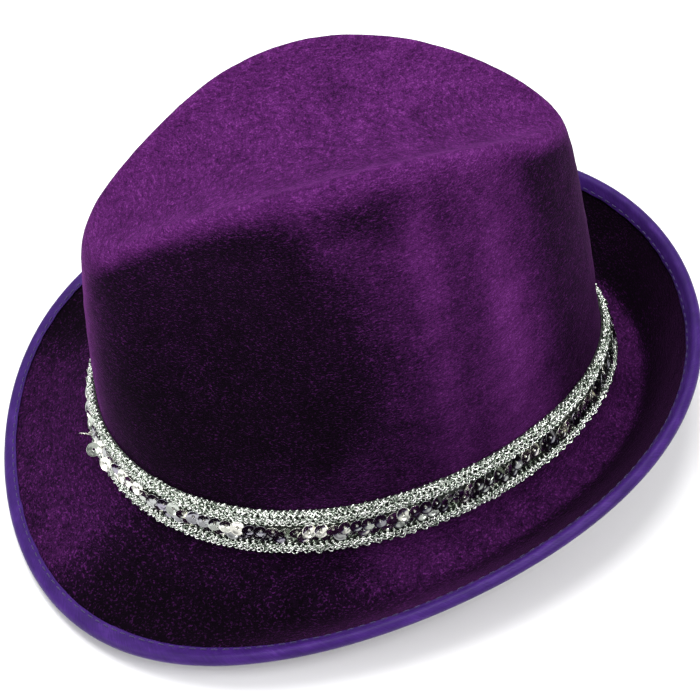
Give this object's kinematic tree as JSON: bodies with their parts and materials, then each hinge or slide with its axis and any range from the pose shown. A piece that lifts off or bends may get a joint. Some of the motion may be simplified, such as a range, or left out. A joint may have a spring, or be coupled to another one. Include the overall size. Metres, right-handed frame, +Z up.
{
  "type": "velour party fedora hat",
  "caption": "Costume fedora of purple velour with a pinched, dented crown, a satin-bound brim that curls up at the rear, a silver sequin trim and an inner sweatband.",
  "frame": {"origin": "on the table, under the middle of the brim's outline, with the hat standing on its brim", "axes": "+Z up through the crown, -Y towards the front of the hat, +X towards the wearer's left"},
  "size_m": [0.257, 0.287, 0.1549],
  "materials": {
    "velour": "crushed purple velour, soft directional sheen",
    "felt_core": "moulded non-woven felt, matt",
    "lining_cloth": "thin matt lining cloth",
    "brim_underside_cloth": "brushed purple cloth, matt",
    "satin_binding": "blue-violet satin tape, satin sheen",
    "binding_thread": "polyester sewing thread",
    "sweatband_ribbon": "black grosgrain ribbon",
    "sweatband_thread": "black sewing thread",
    "label_satin": "blank white woven satin",
    "trim_backing": "grey woven tape",
    "lurex_braid": "silver metallised yarn, crocheted",
    "sequin_film": "silver metallised film, mirror bright",
    "trim_thread": "pale fine thread"
  },
  "bodies": {
    "hat": {"velour_cover": "velour", "crown_tip_core": "felt_core", "crown_side_core": "felt_core", "brim_core": "felt_core", "crown_lining": "lining_cloth", "brim_facing": "brim_underside_cloth", "brim_binding": "satin_binding", "binding_stitching": "binding_thread", "sweatband": "sweatband_ribbon", "sweatband_stitching": "sweatband_thread", "sweatband_join_tab": "sweatband_ribbon", "label_stitching": "sweatband_thread", "band_backing": "trim_backing", "band_edge_upper": "lurex_braid", "band_edge_lower": "lurex_braid", "sequins_upper_row": "sequin_film", "sequins_lower_row": "sequin_film", "sequin_thread": "trim_thread", "loose_sequins": "sequin_film"},
    "label": {"care_label": "label_satin"}
  },
  "joints": [
    {"name": "label_flip", "type": "hinge", "parent": "hat", "child": "label", "pos_m": [0, 0.09748, 0.04033], "axis": [-1, 0, 0], "range_deg": [0, 150]}
  ]
}
